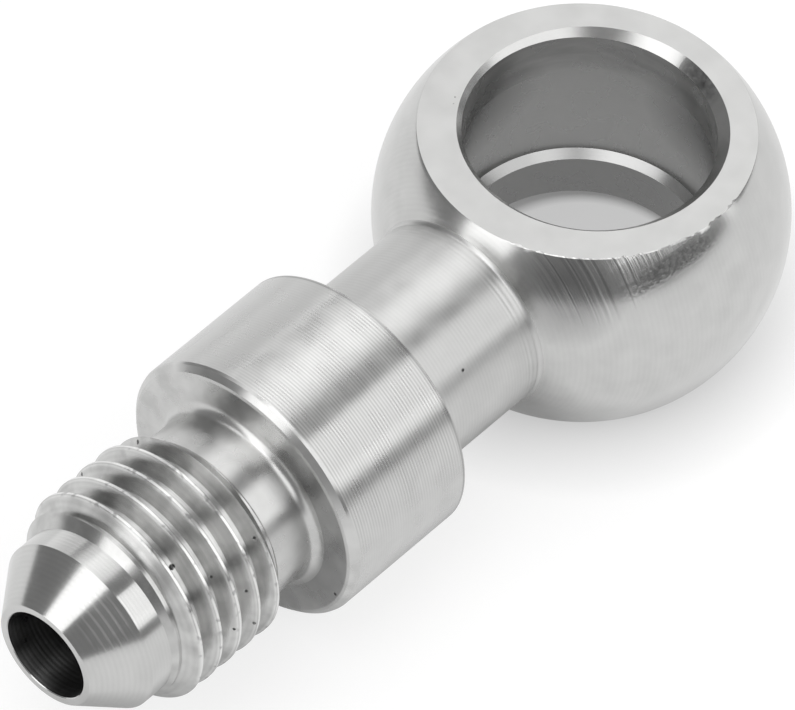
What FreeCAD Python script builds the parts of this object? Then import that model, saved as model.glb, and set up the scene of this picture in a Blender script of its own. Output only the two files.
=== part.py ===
import FreeCAD, Part
import os
from math import asin, cos, pi, radians, sin, sqrt, tan

# A banjo fitting turned from one stainless bar: a ball-shaped eye for a hollow
# banjo bolt, a neck, a round collar and a threaded flare nose for a hose nut.
# Millimetres. The origin is on the eye's bore axis, midway between the two flats.
# +Z runs along the bore and +X along the stem to the nose.

V = FreeCAD.Vector

# Eye: a ball with two milled flats, bored across for the banjo bolt
ball_diameter = 19.8
ball_offset = 0.2            # ball centre, ahead of the bore's axis
eye_width = 11.7             # across the two sealing flats
bore_diameter = 12.0
mouth_chamfer = 0.4          # 45 degree break at both mouths of the bore
mouth_shift_x = -0.07        # the upper mouth was countersunk by hand,
mouth_shift_y = 0.13         # this far off the bore's axis
gallery_width = 6.3          # ring groove inside the bore that feeds the stem
gallery_depth = 0.45
gallery_side_angle = 55.0    # the groove's sides lean this far from the bore's axis

# Stem, from the eye out to the collar
neck_diameter = 9.9
neck_blend = 0.3             # tool radius where the neck meets the ball
collar_start = 16.2          # bore axis to the collar's rear face
collar_diameter = 13.9
collar_length = 7.65
collar_chamfer = 0.35

# Thread relief, 7/16-20 thread and 37 degree flare nose
relief_diameter = 9.2
relief_length = 2.55
relief_fillet = 0.5
thread_diameter = 10.95
threads_per_inch = 20
thread_length = 7.0          # both end chamfers included
left_hand = True
lead_diameter = 9.0
lead_length = 1.25
cone_half_angle = 37.0
nose_diameter = 5.5
passage_diameter = 4.7

# Radii and places along the stem, worked out from the sizes above
ball_radius = ball_diameter / 2
bore_radius = bore_diameter / 2
neck_radius = neck_diameter / 2
collar_radius = collar_diameter / 2
relief_radius = relief_diameter / 2
thread_radius = thread_diameter / 2
lead_radius = lead_diameter / 2
nose_radius = nose_diameter / 2

collar_end = collar_start + collar_length
relief_end = collar_end + relief_length
thread_end = relief_end + thread_length
lead_end = thread_end + lead_length
nose_end = lead_end + (lead_radius - nose_radius) / tan(radians(cone_half_angle))

# Unified thread form: 60 degree flanks and a crest flat of an eighth of the pitch
pitch = 25.4 / threads_per_inch
thread_depth = 0.6134 * pitch
flank_slope = tan(radians(30))
groove_mouth = pitch * 7 / 8
cutter_overshoot = 0.06      # how far the thread cutter stands out past the crests


def at(x, r):
    """A point of the turned outline: distance along the stem and radius."""
    return V(x, 0, r)


def around(centre_x, centre_r, radius, angle):
    """A point on a circle of the outline, its angle counted from +X outwards."""
    return at(centre_x + radius * cos(angle), centre_r + radius * sin(angle))


def straight(*points):
    """Straight edges through the points, in order."""
    return [Part.LineSegment(a, b).toShape() for a, b in zip(points, points[1:])]


def arc(a, middle, b):
    return Part.Arc(a, middle, b).toShape()


def ball_outline():
    """The ball's arc from its far pole, and the small blend that runs into the neck."""
    blend_r = neck_radius + neck_blend
    reach = ball_radius + neck_blend
    blend_x = ball_offset + sqrt(reach ** 2 - blend_r ** 2)
    lean = asin(blend_r / reach)
    pole = around(ball_offset, 0, ball_radius, pi)
    crown = around(ball_offset, 0, ball_radius, (pi + lean) / 2)
    ball_touch = around(ball_offset, 0, ball_radius, lean)
    hollow = around(blend_x, blend_r, neck_blend, (lean + pi + 3 * pi / 2) / 2)
    neck_touch = at(blend_x, neck_radius)
    return [arc(pole, crown, ball_touch), arc(ball_touch, hollow, neck_touch)]


def collar_outline(neck_touch):
    """Neck, collar with its front chamfer, and the fillet down into the relief."""
    foot_r = relief_radius + relief_fillet
    foot = at(collar_end, foot_r)
    edges = straight(
        neck_touch,
        at(collar_start, neck_radius),
        at(collar_start, collar_radius),
        at(collar_end - collar_chamfer, collar_radius),
        at(collar_end, collar_radius - collar_chamfer),
        foot,
    )
    hollow = around(collar_end + relief_fillet, foot_r, relief_fillet, 5 * pi / 4)
    edges.append(arc(foot, hollow, at(collar_end + relief_fillet, relief_radius)))
    return edges


def nose_outline(relief_start):
    """Relief, thread blank chamfered at both ends, lead, flare cone and nose."""
    return straight(
        relief_start,
        at(relief_end, relief_radius),
        at(relief_end + thread_radius - relief_radius, thread_radius),
        at(thread_end - thread_radius + lead_radius, thread_radius),
        at(thread_end, lead_radius),
        at(lead_end, lead_radius),
        at(nose_end, nose_radius),
        at(nose_end, 0),
        at(ball_offset - ball_radius, 0),
    )


def turned_blank():
    """Everything the lathe makes, spun about the stem's axis."""
    edges = ball_outline()
    edges += collar_outline(at(edges[-1].Vertexes[-1].X, neck_radius))
    edges += nose_outline(at(collar_end + relief_fillet, relief_radius))
    outline = Part.Face(Part.Wire(edges))
    return outline.revolve(V(0, 0, 0), V(1, 0, 0), 360)


def thread_groove():
    """One long helical cutter, from inside the relief to beyond the lead chamfer."""
    root_radius = thread_radius - thread_depth
    half_root = groove_mouth / 2 - thread_depth * flank_slope
    half_mouth = groove_mouth / 2 + cutter_overshoot * flank_slope
    start = relief_end - half_mouth
    run = thread_length + 2 * half_mouth
    helix = Part.makeLongHelix(pitch, run, root_radius, 0, left_hand)
    mouth_radius = thread_radius + cutter_overshoot
    corners = [
        V(root_radius, 0, -half_root),
        V(mouth_radius, 0, -half_mouth),
        V(mouth_radius, 0, half_mouth),
        V(root_radius, 0, half_root),
    ]
    section = Part.Wire(straight(*corners, corners[0]))
    cutter = Part.Wire(helix).makePipeShell([section], True, True)
    # The crest on the +Y side reaches full height where the lead chamfer begins
    first_crest = thread_end - thread_radius + lead_radius
    turn_back = 360 * (first_crest + pitch / 2 - start) / pitch
    cutter.rotate(V(0, 0, 0), V(0, 0, 1), 90 + (turn_back if left_hand else -turn_back))
    cutter.rotate(V(0, 0, 0), V(0, 1, 0), 90)
    cutter.translate(V(start, 0, 0))
    return cutter


def milled_flats():
    """The two slabs milled off the ball, above and below the eye."""
    side = 2 * ball_radius
    corner = V(ball_offset - ball_radius, -ball_radius, eye_width / 2)
    upper = Part.makeBox(side, side, ball_radius, corner)
    return [upper, upper.mirror(V(0, 0, 0), V(0, 0, 1))]


def mouth_cone(shift_x, shift_y, up):
    """A 45 degree countersink whose widest circle lies on a flat of the eye."""
    widest = bore_radius + mouth_chamfer
    depth = 2 * mouth_chamfer
    centre = V(shift_x, shift_y, up * eye_width / 2)
    return Part.makeCone(widest, widest - depth, depth, centre, V(0, 0, -up))


def bore_outline():
    """Half of the bore's section: two lands, and the ring groove between its sloped sides."""
    floor_radius = bore_radius + gallery_depth
    mouth_z = gallery_width / 2
    floor_z = mouth_z - gallery_depth / tan(radians(gallery_side_angle))
    upper = [V(0, 0, ball_radius), V(bore_radius, 0, ball_radius),
             V(bore_radius, 0, mouth_z), V(floor_radius, 0, floor_z)]
    lower = [V(p.x, 0, -p.z) for p in reversed(upper)]
    return straight(*upper, *lower, upper[0])


def eye_bore():
    """The bolt's bore with its ring groove, and the breaks at its mouths."""
    bore = Part.Face(Part.Wire(bore_outline())).revolve(V(0, 0, 0), V(0, 0, 1), 360)
    upper_mouth = mouth_cone(mouth_shift_x, mouth_shift_y, 1)
    return [bore, upper_mouth, mouth_cone(0, 0, -1)]


def passage():
    """The drilling from the nose back into the bore."""
    return Part.makeCylinder(passage_diameter / 2, nose_end, V(0, 0, 0), V(1, 0, 0))


def fitting_body():
    body = turned_blank().cut(thread_groove())
    for cutter in milled_flats() + eye_bore() + [passage()]:
        body = body.cut(cutter)
    return body


os.makedirs("parts", exist_ok=True)
fitting_body().exportStep("parts/fitting_body.step")
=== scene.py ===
from math import asin, atan2, ceil, cos, hypot, pi, radians, sin, sqrt, tan
from random import Random

import bmesh
import bpy
from mathutils import Matrix, Vector


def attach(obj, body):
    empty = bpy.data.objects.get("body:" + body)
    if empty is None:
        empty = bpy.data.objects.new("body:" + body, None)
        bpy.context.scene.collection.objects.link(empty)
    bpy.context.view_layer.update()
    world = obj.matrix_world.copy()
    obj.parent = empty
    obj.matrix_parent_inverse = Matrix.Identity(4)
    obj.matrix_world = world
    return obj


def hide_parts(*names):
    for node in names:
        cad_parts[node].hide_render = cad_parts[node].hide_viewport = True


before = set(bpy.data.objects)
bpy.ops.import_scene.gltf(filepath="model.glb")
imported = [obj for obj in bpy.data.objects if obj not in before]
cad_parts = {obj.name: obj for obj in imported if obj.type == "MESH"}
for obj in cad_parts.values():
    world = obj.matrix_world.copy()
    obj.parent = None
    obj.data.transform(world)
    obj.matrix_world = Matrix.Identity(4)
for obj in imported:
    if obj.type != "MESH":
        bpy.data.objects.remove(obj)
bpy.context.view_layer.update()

MM = 0.001                    # the mesh is drawn in millimetres and brought to metres at the end
STEPS = 256                   # steps of one full turn
CLOSE = 0.001                 # how far a vertex may lie off the place it is looked for at
SHARP = radians(15)           # from this angle on, an edge is shaded sharp

# Sizes in millimetres, as the solid has them. The ball and the collar are a hair smaller,
# because the solid's facets cut across their circles.
BALL_RADIUS = 9.8985
BALL_X = 0.2
HALF_WIDTH = 5.85
BORE_RADIUS = 6.0
MOUTH_BREAK = 0.4
UPPER_MOUTH = Vector((-0.07, 0.13, 0))
GALLERY_HALF = 3.15
GALLERY_RADIUS = 6.45
GALLERY_FLOOR_HALF = 2.835    # the groove's sides lean 55 degrees from the bore's axis
NECK_RADIUS = 4.95
NECK_BLEND = 0.3
COLLAR_START = 16.2
COLLAR_END = 23.85
COLLAR_RADIUS = 6.9445
COLLAR_CHAMFER = 0.35
RELIEF_RADIUS = 4.6
RELIEF_FILLET = 0.5
RELIEF_END = 26.4
THREAD_RADIUS = 5.475
PITCH = 1.27
THREAD_DEPTH = 0.6134 * PITCH
THREAD_FLANK = radians(30)
THREAD_END = 33.4
LEAD_RADIUS = 4.5
LEAD_END = 34.65
FLARE = radians(37)
NOSE_END = 36.97
NOSE_RADIUS = 2.75
PASSAGE_RADIUS = 2.35
PASSAGE_END = 8.0             # from here on the passage opens into the ring groove
EDGE_BREAK = 0.05             # width of the break on an edge that the tool left sharp

# Which finish a face has
BALL, NECK, COLLAR, FACE, RELIEF, THREAD, CONE, BORE, FLAT, PASSAGE, MOUTH = range(11)


# The fitting's skin, one closed mesh

def chain(bm, points):
    """A row of vertices joined by edges."""
    verts = [bm.verts.new(p) for p in points]
    return verts + [bm.edges.new(pair) for pair in zip(verts, verts[1:])]


def split(bm, at, along, geom=None, clear=False):
    """Cuts edges across a plane, and with clear drops what lies on its far side."""
    geom = geom or bm.verts[:] + bm.edges[:] + bm.faces[:]
    bmesh.ops.bisect_plane(
        bm, geom=geom, dist=1e-5, plane_co=at, plane_no=along, clear_outer=clear)


def open_edges(bm, test):
    """The open edges whose two ends pass the test."""
    return [e for e in bm.edges if e.is_boundary and all(test(v.co) for v in e.verts)]


def thread_skin(bm):
    """The thread as a sheet of straight ridges, cut to the blank and rolled round the stem. In
    the sheet, y is the turn round the stem and z the radius."""
    half_crest = PITCH / 16
    half_ridge = half_crest + THREAD_DEPTH * tan(THREAD_FLANK)
    root = THREAD_RADIUS - THREAD_DEPTH
    first = THREAD_END - THREAD_RADIUS + LEAD_RADIUS
    # The sheet slants by one pitch a turn, so it has ridges to spare past both ends
    behind = ceil((first - RELIEF_END) / PITCH) + 1
    ahead = 4
    points = []
    for ridge in range(-behind, ahead):
        x = first + ridge * PITCH
        points += [(x - half_crest, 0, THREAD_RADIUS), (x + half_crest, 0, THREAD_RADIUS),
                   (x + half_ridge, 0, root), (x + PITCH - half_ridge, 0, root)]
    bmesh.ops.spin(
        bm, geom=chain(bm, points), cent=(0, 0, 0), axis=(0, 0, 1), angle=0,
        dvec=(-PITCH / STEPS, 2 * pi / STEPS, 0), steps=STEPS, use_merge=False)
    split(bm, (RELIEF_END, 0, 0), (-1, 0, 0), clear=True)
    split(bm, (THREAD_END, 0, 0), (1, 0, 0), clear=True)
    # Both ends are chamfered at 45 degrees: what stands above a chamfer is pressed down to it
    split(bm, (RELIEF_END, 0, RELIEF_RADIUS), Vector((-1, 0, 1)).normalized())
    split(bm, (THREAD_END, 0, LEAD_RADIUS), Vector((1, 0, 1)).normalized())
    for v in bm.verts:
        x, turn, r = v.co
        r = min(r, RELIEF_RADIUS + x - RELIEF_END, LEAD_RADIUS + THREAD_END - x)
        v.co = (x, r * cos(turn), r * sin(turn))
    bmesh.ops.remove_doubles(bm, verts=bm.verts, dist=2e-3)
    for face in bm.faces:
        face.material_index = THREAD


def carry_on(bm, ring, stations):
    """Turns the skin on from an open ring, one band to each (place, radius, finish)."""
    for x, r, finish in stations:
        made = bmesh.ops.extrude_edge_only(bm, edges=ring)["geom"]
        verts = {g for g in made if isinstance(g, bmesh.types.BMVert)}
        for v in verts:
            out = hypot(v.co.y, v.co.z)
            v.co = (x, v.co.y * r / out, v.co.z * r / out)
        for face in {f for v in verts for f in v.link_faces}:
            face.material_index = finish
        ring = [g for g in made if isinstance(g, bmesh.types.BMEdge)
                and g.verts[0] in verts and g.verts[1] in verts]
    return ring


def hollow(centre_x, centre_r, radius, start, end, finish):
    """Stations round an inside corner, between two angles counted from +X outwards."""
    bands = 8
    turns = [start + (end - start) * band / bands for band in range(1, bands + 1)]
    return [(centre_x + radius * cos(a), centre_r + radius * sin(a), finish) for a in turns]


def stem_to_ball():
    """Stations along the relief, collar and neck, to the blend that meets the ball."""
    foot = RELIEF_RADIUS + RELIEF_FILLET
    inner = COLLAR_END + RELIEF_FILLET
    reach = BALL_RADIUS + NECK_BLEND
    blend_r = NECK_RADIUS + NECK_BLEND
    lean = asin(blend_r / reach)
    blend_x = BALL_X + sqrt(reach ** 2 - blend_r ** 2)
    nick = EDGE_BREAK
    # A ring close to each end of a fillet keeps its shading off the straight face beside it
    stations = [(inner + nick, RELIEF_RADIUS, RELIEF), (inner, RELIEF_RADIUS, RELIEF)]
    stations += hollow(inner, foot, RELIEF_FILLET, 3 * pi / 2, pi, RELIEF)
    stations += [
        (COLLAR_END, foot + nick, FACE),
        (COLLAR_END, COLLAR_RADIUS - COLLAR_CHAMFER - 2 * nick, FACE),
        (COLLAR_END - nick, COLLAR_RADIUS - COLLAR_CHAMFER + nick, FACE),
        (COLLAR_END - COLLAR_CHAMFER + nick, COLLAR_RADIUS - nick, FACE),
        (COLLAR_END - COLLAR_CHAMFER - 2 * nick, COLLAR_RADIUS, FACE),
        (COLLAR_START + nick, COLLAR_RADIUS, COLLAR),
        (COLLAR_START, COLLAR_RADIUS - nick, FACE),
        (COLLAR_START, NECK_RADIUS, FACE),
        (blend_x + nick, NECK_RADIUS, NECK),
        (blend_x, NECK_RADIUS, NECK),
    ]
    stations += hollow(blend_x, blend_r, NECK_BLEND, 3 * pi / 2, lean + pi, NECK)
    return stations


def lead_to_passage():
    """Stations along the lead, the cone and the nose, and back through the passage."""
    nick = EDGE_BREAK * 0.8
    return [
        (LEAD_END, LEAD_RADIUS, CONE),
        (NOSE_END - nick, NOSE_RADIUS + nick * tan(FLARE), CONE),
        (NOSE_END, NOSE_RADIUS - nick * 0.5, CONE),
        (NOSE_END, PASSAGE_RADIUS + nick, CONE),
        (NOSE_END - nick, PASSAGE_RADIUS, CONE),
        (PASSAGE_END, PASSAGE_RADIUS, PASSAGE),
    ]


def eye_section():
    """The eye's section as places (radius, z): from the lower flat over the ball to the upper
    one, and back through the bore and its ring groove."""
    nick = EDGE_BREAK * 0.6
    lift = asin((HALF_WIDTH - nick) / BALL_RADIUS)
    rim = BALL_RADIUS * cos(lift) - nick
    rows = 72
    turns = [lift * (2 * row / rows - 1) for row in range(rows + 1)]
    rungs = 24
    section = [(rim, -HALF_WIDTH)]
    section += [(BALL_RADIUS * cos(a), BALL_RADIUS * sin(a)) for a in turns]
    section += [(rim, HALF_WIDTH), (BORE_RADIUS + MOUTH_BREAK, HALF_WIDTH),
                (BORE_RADIUS, HALF_WIDTH - MOUTH_BREAK), (BORE_RADIUS, GALLERY_HALF)]
    section += [(GALLERY_RADIUS, GALLERY_FLOOR_HALF * (1 - 2 * rung / rungs))
                for rung in range(rungs + 1)]
    section += [(BORE_RADIUS, -GALLERY_HALF), (BORE_RADIUS, MOUTH_BREAK - HALF_WIDTH),
                (BORE_RADIUS + MOUTH_BREAK, -HALF_WIDTH)]
    return section


def on_ball(place):
    """Whether a place on the eye lies outside the bore and its ring groove."""
    return hypot(place.x, place.y) > GALLERY_RADIUS + CLOSE


def work_rims(verts):
    """Moves the ball off the bore's axis, roughens its upper rim and shifts the upper break."""
    mouth_radius = BORE_RADIUS + MOUTH_BREAK
    ragged_from, ragged_to = 0.2, 1.75
    burr = Random(4)
    for v in sorted(verts, key=lambda v: (v.co.z, atan2(v.co.y, v.co.x))):
        turn = atan2(v.co.y, v.co.x)
        on_top = v.co.z > HALF_WIDTH - CLOSE
        if on_ball(v.co):
            # The milling cutter left the near side of the upper rim a little ragged
            if on_top and ragged_from < turn < ragged_to:
                pulled = 1 - burr.choice((0, 0.002, 0.004, 0.012))
                v.co.x *= pulled
                v.co.y *= pulled
            v.co.x += BALL_X
        elif on_top:
            wall = Vector((v.co.x, v.co.y, 0)).normalized() * BORE_RADIUS
            v.co = UPPER_MOUTH + (wall - UPPER_MOUTH).normalized() * mouth_radius
            v.co.z = HALF_WIDTH
        elif v.co.z > HALF_WIDTH - MOUTH_BREAK - CLOSE:
            # The break's cone stands about its own axis, so it ends lower on one side
            away = (Vector((v.co.x, v.co.y, 0)) - UPPER_MOUTH).length
            v.co.z = HALF_WIDTH - mouth_radius + away


def eye(bm):
    """Ball, flats, bore and ring groove, spun about the bore's axis."""
    before = set(bm.faces)
    geom = chain(bm, [(r, 0, z) for r, z in eye_section()])
    verts = [g for g in geom if isinstance(g, bmesh.types.BMVert)]
    geom.append(bm.edges.new((verts[-1], verts[0])))
    bmesh.ops.spin(
        bm, geom=geom, cent=(0, 0, 0), axis=(0, 0, 1), angle=2 * pi, dvec=(0, 0, 0),
        steps=STEPS, use_merge=True)
    faces = [f for f in bm.faces if f not in before]
    bmesh.ops.recalc_face_normals(bm, faces=faces)
    # In the bore only the two breaks and the groove's sides slant
    slanted = 0.1
    for face in faces:
        middle = face.calc_center_median()
        if abs(middle.z) > HALF_WIDTH - CLOSE:
            face.material_index = FLAT
        elif on_ball(middle):
            face.material_index = BALL
        elif abs(face.normal.z) > slanted:
            face.material_index = MOUTH
        else:
            face.material_index = BORE
    work_rims({v for f in faces for v in f.verts})


def body_mesh():
    """The whole fitting as one closed mesh in metres, whose faces carry their finishes."""
    bm = bmesh.new()
    thread_skin(bm)
    rear = open_edges(bm, lambda co: co.x < RELIEF_END + CLOSE)
    front = open_edges(bm, lambda co: co.x > THREAD_END - CLOSE)
    neck_ring = carry_on(bm, rear, stem_to_ball())
    passage_ring = carry_on(bm, front, lead_to_passage())
    # The passage ends on the groove's floor, which is round about the bore, in three rings
    for margin in (0, 0.08, 0.2):
        station = (GALLERY_RADIUS, PASSAGE_RADIUS + margin, BORE)
        passage_ring = carry_on(bm, passage_ring, [station])
        for v in {v for e in passage_ring for v in e.verts}:
            v.co.x = sqrt(GALLERY_RADIUS ** 2 - v.co.y ** 2)
    stem = set(bm.verts[:] + bm.edges[:] + bm.faces[:])
    eye(bm)
    # The groove's floor opens just outside the last of these rings
    window = PASSAGE_RADIUS + 0.27
    floor_faces = [f for f in bm.faces if f not in stem and f.material_index == BORE and all(
        v.co.x > 0 and abs(v.co.y) < window and abs(v.co.z) < window for v in f.verts)]
    bmesh.ops.delete(bm, geom=floor_faces, context="FACES")
    # The ball opens for the neck a little before the blend, and a band joins the two
    geom = [g for g in bm.verts[:] + bm.edges[:] + bm.faces[:] if g not in stem]
    band = 0.14
    mouth_x = neck_ring[0].verts[0].co.x - band
    split(bm, (mouth_x, 0, 0), (1, 0, 0), geom=geom, clear=True)
    ball_ring = open_edges(bm, lambda co: abs(co.x - mouth_x) < CLOSE)
    floor_rings = open_edges(bm, lambda co: co.x < GALLERY_RADIUS + CLOSE)
    for rings, finish in ((neck_ring + ball_ring, BALL), (floor_rings, BORE)):
        for face in bmesh.ops.bridge_loops(bm, edges=rings)["faces"]:
            face.material_index = finish
    bmesh.ops.remove_doubles(bm, verts=bm.verts, dist=1e-4)
    bmesh.ops.recalc_face_normals(bm, faces=bm.faces)
    for face in bm.faces:
        face.smooth = True
    # Every edge between a flat and its neighbour is sharp, or the flat would not look flat
    for edge in bm.edges:
        on_flat = sum(face.material_index == FLAT for face in edge.link_faces) == 1
        edge.smooth = not on_flat and edge.calc_face_angle() < SHARP
    bmesh.ops.scale(bm, vec=(MM, MM, MM), verts=bm.verts)
    return bm


def add_object(bm, name):
    """Puts a finished mesh into the scene, as an object at the origin."""
    mesh = bpy.data.meshes.new(name)
    bm.to_mesh(mesh)
    bm.free()
    made = bpy.data.objects.new(name, mesh)
    bpy.context.scene.collection.objects.link(made)
    return made


# Finishes

NOISE_LOW, NOISE_HIGH = 0.3, 0.7      # the range that noise mostly keeps to


def linear(colour):
    """An sRGB hex colour as the linear values that Blender works in."""
    parts = [int(colour[i:i + 2], 16) / 255 for i in (1, 3, 5)]
    return [c / 12.92 if c <= 0.04045 else ((c + 0.055) / 1.055) ** 2.4 for c in parts] + [1]


def empty_tree(owner):
    """The node tree of a new material or world, with nothing in it yet."""
    owner.use_nodes = True
    owner.node_tree.nodes.clear()
    return owner.node_tree


def add(tree, kind, settings=None, **inputs):
    """Adds a node, such as Math.SINE, gives it its settings and joins or fills its inputs. They
    go by name, or by number as i0 and i1 where several have one name."""
    kind, _, operation = kind.partition(".")
    node = tree.nodes.new("ShaderNode" + kind)
    for name, value in (settings or {}).items():
        setattr(node, name, value)
    if operation:
        node.operation = operation
    for name, value in inputs.items():
        socket = node.inputs[int(name[1:]) if name[1:].isdigit() else name.replace("_", " ")]
        if isinstance(value, bpy.types.Node):
            value = value.outputs[0]
        if isinstance(value, bpy.types.NodeSocket):
            tree.links.new(value, socket)
        else:
            socket.default_value = value
    return node


def near(tree, mm, place, reach, core):
    """1 within the core of a place on the part and 0 from its reach on, all in mm."""
    away = add(tree, "VectorMath.DISTANCE", i0=mm, i1=place).outputs["Value"]
    return add(tree, "MapRange", Value=away, From_Min=core, From_Max=reach, To_Min=1.0, To_Max=0.0)


def between(tree, value, low, high, soft):
    """1 where a value lies between two limits, with soft ends."""
    middle, half = (low + high) / 2, (high - low) / 2
    away = add(tree, "Math.ABSOLUTE", i0=add(tree, "Math.SUBTRACT", i0=value, i1=middle))
    return add(tree, "MapRange", Value=away, From_Min=half, From_Max=half + soft, To_Min=1.0,
               To_Max=0.0)


def waves(tree, form, value, gap):
    """A sine or cosine that comes back once in every gap of the value."""
    return add(tree, "Math." + form, i0=add(tree, "Math.MULTIPLY", i0=value, i1=2 * pi / gap))


def mark(tree, skin, *masks, colour=None, strength=1.0, rise=0.0):
    """Where all the masks are 1, the steel turns to a colour and rises by so many mm, and where
    they are less, or with a lower strength, it goes only part of the way."""
    where = strength
    for mask in masks:
        where = add(tree, "Math.MULTIPLY", i0=where, i1=mask)
    if colour:
        skin["tone"] = add(tree, "Mix", {"data_type": "RGBA"}, Factor=where, i6=skin["tone"],
                           i7=linear(colour)).outputs[2]
    if rise:
        skin["height"] = add(tree, "Math.MULTIPLY_ADD", i0=where, i1=rise, i2=skin["height"])


def pits(tree, skin, places):
    """Small holes in the steel of the bar, painted dark as the shade inside them, each a place
    in mm and its radius.
    """
    for place, radius in places:
        hole = near(tree, skin["mm"], place, reach=radius * 1.5, core=radius * 0.7)
        # Painted shade: each hole is darkened as well as pressed in
        mark(tree, skin, hole, colour="#4a4a4a", rise=-radius * 0.5)


def collar_marks(tree, skin):
    """Where the tool stopped it left a dark line, close to the collar's rear edge."""
    stop = between(tree, skin["X"], COLLAR_START + 0.12, COLLAR_START + 0.16, soft=0.05)
    mark(tree, skin, stop, colour="#777777", strength=0.5)


def face_marks(tree, skin):
    """One side of the collar's front face is painted darker, as a painted dark reflection, and
    it has a pit.
    """
    # The face's flat ring lies between the relief's fillet and the chamfer
    flat_ring = between(tree, skin["radius"], 5.0, 6.45, soft=0.1)
    # Painted dark reflection: the side of the face towards +Y is darkened
    side = near(tree, skin["mm"], (23.8, 6.0, 0.4), reach=6.5, core=3.0)
    mark(tree, skin, side, flat_ring, colour="#8a8a8a", strength=0.45)
    pits(tree, skin, [((23.85, 5.87, -2.35), 0.08)])


def neck_marks(tree, skin):
    """Three rings where the tool dwelt before it ran up the blend, and one pit."""
    dwell = between(tree, skin["X"], 8.9, 9.5, soft=0.25)
    rings = waves(tree, "SINE", skin["X"], gap=0.28)
    mark(tree, skin, rings, dwell, rise=0.004)
    pits(tree, skin, [((13.24, 4.0, 2.91), 0.07)])


def scored_rings(tree, skin, rings):
    """A worn tool scored rings in bunches beside the neck. Their light and dark lines are painted
    light and shade, and a patch beside the neck is painted darker as a painted dark reflection.
    """
    scored = near(tree, skin["mm"], (6.3, 5.6, 5.4), reach=3.0, core=1.1)
    bunch = add(tree, "TexNoise", {"noise_dimensions": "1D"}, W=skin["step"], Scale=1.3, Detail=0.0)
    bunch = add(tree, "MapRange", Value=bunch, From_Min=0.35, From_Max=0.6, To_Min=0.25, To_Max=1.0)
    scored = add(tree, "Math.MULTIPLY", i0=scored, i1=bunch)
    mark(tree, skin, rings, scored, rise=0.016)
    # Painted light and shade: dark and near-white lines along the scored rings
    for from_ring, to_ring, colour in ((0.48, 0.36, "#585858"), (0.56, 0.68, "#f6f6f5")):
        line = add(tree, "MapRange", Value=rings, From_Min=from_ring, From_Max=to_ring)
        mark(tree, skin, line, scored, colour=colour, strength=0.7)
    # Painted dark reflection: a darker patch on the ball beside the neck
    dull = near(tree, skin["mm"], (7.3, 5.2, 4.1), reach=2.8, core=1.0)
    mark(tree, skin, dull, colour="#8a8a8a", strength=0.6)


def torn_band_and_painted_reflection(tree, skin, rings):
    """The steel is torn in a band below the milled rim, painted dark in specks there as a painted
    dark reflection, and drawn out in fine bright burrs between the two. The band bends away
    from the rim towards the neck."""
    bow = 0.035
    bend = add(tree, "Math.MULTIPLY", i0=skin["X"], i1=skin["X"])
    bend = add(tree, "Math.MULTIPLY_ADD", i0=bend, i1=bow, i2=skin["Z"])
    band = between(tree, bend, 5.12, 5.7, soft=0.22)
    length = between(tree, skin["X"], 1.6, 4.8, soft=1.2)
    near_side = near(tree, skin["mm"], (3.4, 7.9, 5.0), reach=5.5, core=4.5)
    specks = add(tree, "TexNoise", Vector=skin["mm"], Scale=4.5, Detail=1.0, Roughness=0.6)
    specks = add(tree, "MapRange", Value=specks, From_Min=0.35, From_Max=0.65, To_Min=0.1,
                 To_Max=0.48)
    # Painted dark reflection, broken into specks, in the band below the rim
    mark(tree, skin, specks, band, length, near_side, colour="#5c5c5c", rise=0.008)
    strip = between(tree, bend, 5.9, 6.5, soft=0.2)
    near_rim = near(tree, skin["mm"], (3.8, 7.3, 5.6), reach=2.6, core=0.6)
    mark(tree, skin, rings, strip, near_rim, rise=0.03)


def ball_marks(tree, skin):
    """What the ball's tool and the milling cutter left on the side beside the neck, with painted
    light and shade on the scored rings and painted dark reflections beside them and below
    the rim.
    """
    rings = add(tree, "TexNoise", {"noise_dimensions": "1D"}, W=skin["step"], Scale=6.0,
                Detail=3.0, Roughness=0.6)
    scored_rings(tree, skin, rings)
    torn_band_and_painted_reflection(tree, skin, rings)


def thread_marks(tree, skin):
    """Pits, the largest of them on the third crest, smudges, and crests with a painted highlight
    along their middle, chipped in places."""
    pits(tree, skin, [
        ((31.57, 2.72, 3.82), 0.1), ((30.21, 3.88, 2.88), 0.07), ((28.87, 4.84, 1.49), 0.07),
        ((27.46, 3.98, 3.30), 0.07), ((30.08, 5.25, 0.19), 0.06), ((28.79, 5.32, -0.49), 0.07),
        ((29.52, -4.73, 2.39), 0.08), ((27.19, -3.44, 3.71), 0.08)])
    smudge = add(tree, "TexNoise", Vector=skin["mm"], Scale=0.8, Detail=2.0)
    smudge = add(tree, "MapRange", Value=smudge, From_Min=0.42, From_Max=0.7, To_Max=0.4)
    mark(tree, skin, smudge, colour="#868685")
    crest = add(tree, "MapRange", Value=skin["radius"], From_Min=THREAD_RADIUS - 0.14,
                From_Max=THREAD_RADIUS - 0.02)
    # Painted highlight: a near-white line along the middle of each crest
    off_crest = add(tree, "Math.SUBTRACT", i0=skin["step"], i1=THREAD_END + LEAD_RADIUS)
    ridge = waves(tree, "COSINE", off_crest, gap=PITCH)
    ridge = add(tree, "MapRange", Value=ridge, From_Min=0.93, From_Max=0.98)
    mark(tree, skin, ridge, crest, colour="#fbfbfa", strength=0.5)
    chips = add(tree, "TexNoise", Vector=skin["mm"], Scale=2.2, Detail=1.0)
    chips = add(tree, "MapRange", Value=chips, From_Min=0.6, From_Max=0.7)
    mark(tree, skin, chips, crest, colour="#808080", strength=0.5)


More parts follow.
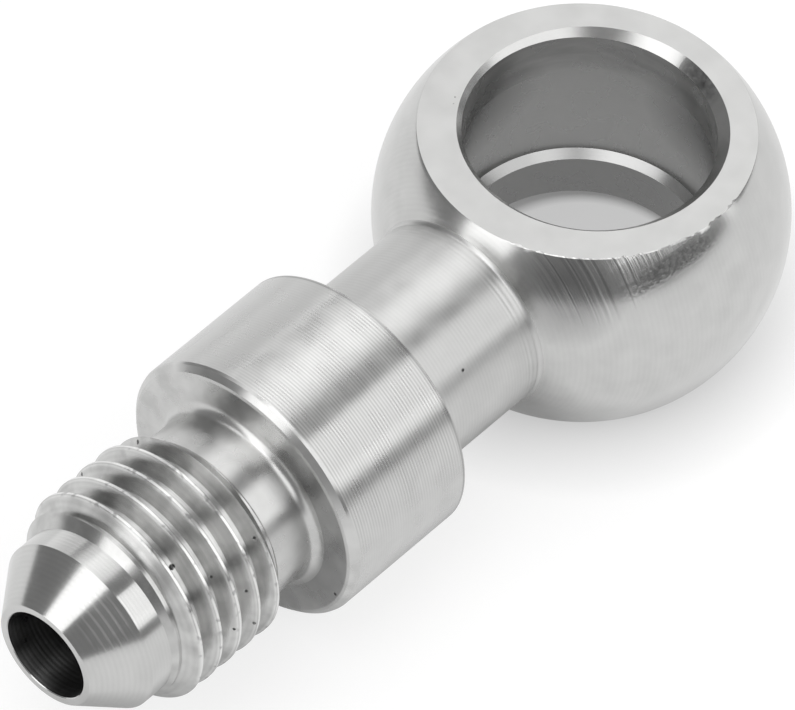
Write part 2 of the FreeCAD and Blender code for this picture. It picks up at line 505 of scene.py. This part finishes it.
def cone_marks(tree, skin):
    """A few clear score lines on the upper side of the cone, cut in and painted near-white as
    painted glints.
    """
    rings = waves(tree, "SINE", skin["X"], gap=0.3)
    lines = add(tree, "MapRange", Value=rings, From_Min=0.45, From_Max=0.95)
    where = near(tree, skin["mm"], (35.5, 2.3, 3.1), reach=1.5, core=0.7)
    # Painted glints: the score lines are painted near-white as well as cut in
    mark(tree, skin, lines, where, colour="#f0f0ef", strength=0.6, rise=-0.01)


def bore_marks(tree, skin):
    """The upper land is smudged along the cut, both lands are duller than the groove, and two
    sides of the wall are painted darker as painted shade."""
    along_cut = add(tree, "VectorMath.MULTIPLY", i0=skin["mm"], i1=(0.35, 0.35, 1.6))
    smear = add(tree, "TexNoise", Vector=along_cut, Scale=1.0, Detail=2.0)
    smear = add(tree, "MapRange", Value=smear, From_Min=0.35, From_Max=0.65, To_Min=0.1, To_Max=0.45)
    upper = between(tree, skin["Z"], GALLERY_HALF + 0.8, HALF_WIDTH, soft=0.7)
    lower = between(tree, skin["Z"], -HALF_WIDTH, -GALLERY_HALF, soft=0.05)
    mark(tree, skin, smear, upper, colour="#8a8a8a")
    mark(tree, skin, lower, colour="#8a8a8a", strength=0.5)
    # Painted shade: two sides of the wall are darkened
    for place in ((0.4, -6.1, 2.6), (-5.9, 1.7, 1.9)):
        painted_shade = near(tree, skin["mm"], place, reach=3.6, core=0.6)
        mark(tree, skin, painted_shade, colour="#767676", strength=0.7)


def mouth_marks(tree, skin):
    """The cutter tore one place of the countersink, and the groove's sides are a little dull."""
    sides = between(tree, skin["Z"], -GALLERY_HALF, GALLERY_HALF, soft=0.1)
    mark(tree, skin, sides, colour="#9a9a9a", strength=0.5)
    torn = near(tree, skin["mm"], (-5.96, 1.77, 5.7), reach=1.5, core=0.6)
    grain = add(tree, "TexNoise", Vector=skin["mm"], Scale=3.5, Detail=1.0)
    mark(tree, skin, torn, grain, colour="#4a4a4a", rise=0.04)


def flat_marks(tree, skin):
    """The milled flats are even, with a few tiny dents from handling."""
    pits(tree, skin, [((2.95, -5.83, 5.85), 0.03), ((3.3, -5.6, 5.85), 0.02)])


def place_across(tree, skin, axis, across):
    """How far a place lies across the tool's marks, in mm."""
    if across == "length":
        return skin[axis]
    if across == "arc":
        ahead = add(tree, "Math.SUBTRACT", i0=skin["X"], i1=BALL_X)
        angle = add(tree, "Math.ARCTAN2", i0=skin["radius"], i1=ahead)
        return add(tree, "Math.MULTIPLY", i0=angle, i1=BALL_RADIUS)
    if across == "helix":
        turn = add(tree, "Math.ARCTAN2", i0=skin["Z"], i1=skin["Y"])
        ahead = add(tree, "Math.MULTIPLY_ADD", i0=turn, i1=PITCH / (2 * pi), i2=skin["X"])
        # With the radius added, the lines follow the turn on the flanks as well
        return add(tree, "Math.ADD", i0=ahead, i1=skin["radius"])
    return skin["radius"]


def ring_noise(tree, skin, gap):
    """Noise that changes from one ring to the next, a gap apart, and little round a ring."""
    along = add(tree, "Math.MULTIPLY", i0=skin["step"], i1=1 / gap)
    first, second = skin["around"]
    place = add(tree, "CombineXYZ", X=along, Y=first, Z=second)
    return add(tree, "TexNoise", Vector=place, Scale=1.0, Detail=1.0, Roughness=0.5)


def machined(name, axis, across, feed=0.2, groove=0.0, lines=0.0, deep_and_painted_light_side=None, hair=0.0003,
             hair_width=0.12, roughness=0.26, lean=0.8, mottle=0.3,
             tones=("#b4b4b3", "#d6d6d5"), marks=None):
    """Bare stainless steel as a cutting tool leaves it on a part that turns about an axis. Its
    grooves lie one feed apart, with finer hair lines between them that wander a little round
    the part. The lines follow each other over the length, the radius, the ball's arc or the
    thread's helix. Across them the steel spreads a reflection wide, the more the greater its
    lean, and along them it keeps it sharp. Mottle is how cloudy its tone is, and lines is how
    much the grooves show in the tone, as painted light and shade. Feed, hair width and both
    depths are in mm."""
    mat = bpy.data.materials.new(name)
    tree = empty_tree(mat)
    place = add(tree, "TexCoord").outputs["Object"]
    mm = add(tree, "VectorMath.SCALE", i0=place, Scale=1 / MM)
    part = add(tree, "SeparateXYZ", Vector=mm)
    off_axis = (1, 1, 0) if axis == "Z" else (0, 1, 1)
    outward = add(tree, "VectorMath.MULTIPLY", i0=mm, i1=off_axis)
    radius = add(tree, "VectorMath.LENGTH", i0=outward).outputs["Value"]
    turn = add(tree, "SeparateXYZ", Vector=add(tree, "VectorMath.NORMALIZE", i0=outward))
    around = [turn.outputs[end] for end in ("XY" if axis == "Z" else "YZ")]
    # The marks read all of the skin, and change its tone and height
    skin = {"mm": mm, "X": part.outputs["X"], "Y": part.outputs["Y"], "Z": part.outputs["Z"],
            "radius": radius, "around": around}
    skin["step"] = place_across(tree, skin, axis, across)
    # Real hair lines are some hundredths of a millimetre wide, too fine to show, so they are
    # drawn a few times as coarse. The noise uses half its range, so its depth is doubled.
    streak = ring_noise(tree, skin, hair_width)
    skin["height"] = add(tree, "Math.MULTIPLY", i0=streak, i1=hair * 2)
    cloud = add(tree, "TexNoise", Vector=mm, Scale=0.7, Detail=2.0, Roughness=0.5)
    shine = add(tree, "MapRange", Value=cloud, From_Min=NOISE_LOW, From_Max=NOISE_HIGH,
                To_Min=0.5 - mottle / 2, To_Max=0.5 + mottle / 2)
    if groove:
        # Each groove differs a little in depth from the next
        depth = ring_noise(tree, skin, feed / 0.9)
        deep = add(tree, "Math.MULTIPLY", i0=waves(tree, "COSINE", skin["step"], feed), i1=depth)
        if deep_and_painted_light_side:
            # The feed lines are deepest along one side of the part, and their painted light and
            # shade is strongest there too
            side = add(tree, "VectorMath.DOT_PRODUCT", i0=outward, i1=deep_and_painted_light_side).outputs["Value"]
            side = add(tree, "Math.DIVIDE", i0=side, i1=radius)
            side = add(tree, "MapRange", Value=side, From_Min=0.65, From_Max=0.95, To_Min=0.12)
            deep = add(tree, "Math.MULTIPLY", i0=deep, i1=side)
        skin["height"] = add(tree, "Math.MULTIPLY_ADD", i0=deep, i1=groove, i2=skin["height"])
        shine = add(tree, "Math.MULTIPLY_ADD", i0=deep, i1=lines, i2=shine)
    skin["tone"] = add(tree, "Mix", {"data_type": "RGBA"}, Factor=shine, i6=linear(tones[0]),
                       i7=linear(tones[1])).outputs[2]
    if marks:
        marks(tree, skin)
    bump = add(tree, "Bump", Strength=1.0, Distance=MM, Height=skin["height"])
    tangent = add(tree, "Tangent", {"direction_type": "RADIAL", "axis": axis})
    rough = add(tree, "MapRange", Value=cloud, From_Min=NOISE_LOW, From_Max=NOISE_HIGH,
                To_Min=roughness * 0.9, To_Max=roughness * 1.1)
    shader = add(tree, "BsdfPrincipled", Base_Color=skin["tone"], Metallic=1.0, Roughness=rough,
                 Anisotropic=lean, Anisotropic_Rotation=0.25, Normal=bump, Tangent=tangent)
    add(tree, "OutputMaterial", Surface=shader)
    return mat


def finishes():
    """One stainless steel as eleven tools left it, in the order of the numbers that the faces
    carry."""
    return [
        # Form turned and smooth: reflections stay clear, with faint rings about the stem
        machined("ball_turned_stainless", "X", "arc", feed=0.27, groove=0.0003, lines=0.05,
                 hair_width=0.25, roughness=0.22, lean=0.4, mottle=0.25, marks=ball_marks),
        # Turned with a dull tool: soft and grey, with rings that show
        machined("neck_turned_stainless", "X", "length", groove=0.0008, lines=0.12,
                 roughness=0.36, lean=0.6, marks=neck_marks),
        # Turned with a steady feed: crisp, even lines, deeper on one side, with painted light and
        # shade along them there
        machined("collar_turned_stainless", "X", "length", feed=0.167, groove=0.0014, lines=0.85,
                 deep_and_painted_light_side=(0, 0.57, 0.82), roughness=0.28, marks=collar_marks),
        # Faced: rings about the stem, which draw light out into a fan
        machined("collar_faced_stainless", "X", "radius", groove=0.0006,
                 roughness=0.28, mottle=0.7, marks=face_marks),
        # Grooved with a narrow tool: coarser hair lines and a cloudy tone
        machined("relief_turned_stainless", "X", "length", hair=0.0006, roughness=0.28, lean=0.5,
                 mottle=0.5),
        # Thread cut along the helix: bright flanks with fine lines that follow the turn
        machined("thread_cut_stainless", "X", "helix", feed=0.12, groove=0.0004, lines=0.2,
                 hair=0.0006, roughness=0.24, lean=0.5, marks=thread_marks),
        # Finish turned as a seal: the smoothest face, with a clear streak of light
        machined("cone_turned_stainless", "X", "length", groove=0.0003, lines=0.08,
                 roughness=0.2, lean=0.7, mottle=0.2, marks=cone_marks),
        # Bored: a smooth wall that mirrors its other side softly
        machined("bore_turned_stainless", "Z", "length", roughness=0.28, lean=0.35, mottle=0.15,
                 marks=bore_marks),
        # Milled flat: an even satin grey without lines that show
        machined("flat_milled_stainless", "Z", "radius", hair=0.0001, roughness=0.34, lean=0.0,
                 mottle=0.15, marks=flat_marks),
        # Drilled: rough, and painted dark as the shade inside the hole, with the drill's rings
        machined("passage_drilled_stainless", "X", "length", feed=0.25, groove=0.004, hair=0.002,
                 roughness=0.3, tones=("#7c7c7c", "#a2a2a2")),
        # Countersunk: a narrow bright ring with lines round the bore
        machined("mouth_countersunk_stainless", "Z", "radius", hair=0.0005, roughness=0.24,
                 marks=mouth_marks),
    ]


# Camera, table and light

def camera():
    """The lens, place and tilt from which the photograph's outlines fit the sizes above."""
    data = bpy.data.cameras.new("camera")
    data.sensor_width = 36
    data.lens = 427.9
    data.shift_x = -0.0067
    data.shift_y = 0.0056
    data.clip_start = 0.01
    data.clip_end = 10
    place = Vector((231.774, 181.278, 334.163)) * MM
    right = Vector((-0.66791, 0.74345, 0.03440)).normalized()
    back = Vector((0.49917, 0.41321, 0.76164)).normalized()
    up = back.cross(right).normalized()
    turn = Matrix((right, up, back)).transposed().to_4x4()
    eye_point = bpy.data.objects.new("camera", data)
    eye_point.matrix_world = Matrix.Translation(place) @ turn
    bpy.context.scene.collection.objects.link(eye_point)
    bpy.context.scene.camera = eye_point


def white_table():
    """White paper. Camera and steel see it lighter than the lamps leave it, with a painted glow of
    white of its own, so that it is white and keeps the part's shadow. The camera sees it
    greyer through the eye, as painted shadow, with a painted contact shadow where the eye's
    rim meets it, and the steel sees it greyer all along the stem, as painted shadow in its
    reflections."""
    mat = bpy.data.materials.new("white_table")
    tree = empty_tree(mat)
    path = add(tree, "LightPath")
    by_camera = path.outputs["Is Camera Ray"]
    seen = add(tree, "Math.MAXIMUM", i0=by_camera, i1=path.outputs["Is Glossy Ray"])
    place = add(tree, "TexCoord").outputs["Object"]
    mm = add(tree, "VectorMath.SCALE", i0=place, Scale=1 / MM)
    part = add(tree, "SeparateXYZ", Vector=mm)
    ahead = add(tree, "Clamp", Value=part.outputs["X"], Min=0.0, Max=NOSE_END)
    stem = add(tree, "CombineXYZ", X=ahead)
    off_stem = add(tree, "VectorMath.DISTANCE", i0=mm, i1=stem).outputs["Value"]
    off_eye = add(tree, "VectorMath.LENGTH", i0=mm).outputs["Value"]
    # Painted shadow: less glow where the camera sees the paper through the eye
    to_camera = add(tree, "MapRange", Value=off_eye, From_Min=9.0, From_Max=14.0, To_Min=0.44,
                    To_Max=0.75)
    # A painted contact shadow: a darker line where the eye's rim meets the paper
    painted_contact_shadow = between(tree, off_eye, 8.7, 9.5, soft=0.4)
    to_camera = add(tree, "Math.MULTIPLY_ADD", i0=painted_contact_shadow, i1=-0.25, i2=to_camera)
    # Painted shadow: less glow in what the steel sees of the paper near the stem and the eye
    by_stem = add(tree, "MapRange", Value=off_stem, From_Min=7.8, From_Max=10.5, To_Min=0.28,
                  To_Max=0.7)
    by_eye = add(tree, "MapRange", Value=off_eye, From_Min=9.0, From_Max=11.5, To_Min=0.28,
                 To_Max=0.7)
    to_steel = add(tree, "Math.MINIMUM", i0=by_stem, i1=by_eye)
    white = add(tree, "Mix", Factor=by_camera, i2=to_steel, i3=to_camera)
    glow = add(tree, "Emission", Color=linear("#ffffff"), Strength=white)
    shade = add(tree, "BsdfDiffuse", Color=linear("#8f8f8f"))
    lit = add(tree, "BsdfDiffuse", Color=linear("#f4f4f4"))
    shown = add(tree, "AddShader", i0=shade, i1=glow)
    add(tree, "OutputMaterial", Surface=add(tree, "MixShader", i0=seen, i1=lit, i2=shown))
    return mat


def floor():
    """The pale table, tilted so that the collar and the eye's far rim both touch it."""
    collar_radius, rim_radius = 6.95, 8.0
    half_side = 1500 * MM
    low_collar = Vector((COLLAR_START, 0, -collar_radius)) * MM
    low_eye = Vector((BALL_X - rim_radius, 0, -HALF_WIDTH)) * MM
    slope = atan2(low_collar.z - low_eye.z, low_collar.x - low_eye.x)
    bm = bmesh.new()
    bmesh.ops.create_grid(bm, x_segments=1, y_segments=1, size=half_side)
    place = Matrix.Translation(low_collar) @ Matrix.Rotation(-slope, 4, "Y")
    bmesh.ops.transform(bm, matrix=place, verts=bm.verts)
    table = add_object(bm, "floor")
    table.data.materials.append(white_table())
    return table


def soft_box(name, azimuth, elevation, width, height, roll, brightness):
    """A flat lamp a metre away that faces the stem's middle. Its place and size are in degrees
    as the part sees them, and white paper that fills its view would be as bright as it is."""
    stem_middle = Vector((13, 0, 0)) * MM
    turn, high, lean = radians(azimuth), radians(elevation), radians(roll)
    away = Vector((cos(high) * cos(turn), cos(high) * sin(turn), sin(high)))
    side = Vector((-sin(turn), cos(turn), 0))
    side = cos(lean) * side + sin(lean) * away.cross(side)
    data = bpy.data.lights.new(name, "AREA")
    data.shape = "RECTANGLE"
    data.size = 2 * tan(radians(width / 2))
    data.size_y = 2 * tan(radians(height / 2))
    data.energy = brightness * pi * data.size * data.size_y
    lamp = bpy.data.objects.new(name, data)
    turned = Matrix((side, away.cross(side), away)).transposed().to_4x4()
    lamp.matrix_world = Matrix.Translation(stem_middle + away) @ turned
    bpy.context.scene.collection.objects.link(lamp)


def studio():
    """Soft boxes round the table, with the dark gaps between them that the steel shows."""
    # Azimuth, elevation, width, height and roll in degrees, and the brightness
    soft_box("overhead", 0, 90, 65, 40, -27, 0.6)
    soft_box("front_strip", -10, 44, 32, 90, -10, 1.65)
    soft_box("right_box", 98, 40, 62, 44, -13, 1.3)
    soft_box("back_box", -129, 63, 55, 37, -6, 0.8)
    soft_box("left_low", -139, 8, 52, 41, 28, 1.0)
    soft_box("rear_box", -168, 25, 55, 49, -26, 1.1)
    soft_box("right_low", 130, 10, 6, 21, 11, 1.6)
    sky = bpy.data.worlds.new("studio")
    bpy.context.scene.world = sky
    tree = empty_tree(sky)
    dim = add(tree, "Background", Color=linear("#ffffff"), Strength=0.25)
    add(tree, "OutputWorld", Surface=dim)


piece = add_object(body_mesh(), "banjo_fitting")
for finish in finishes():
    piece.data.materials.append(finish)
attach(piece, "root")
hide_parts("fitting_body")
table = floor()
camera()
studio()
view = bpy.context.scene.view_settings
view.view_transform = "Standard"
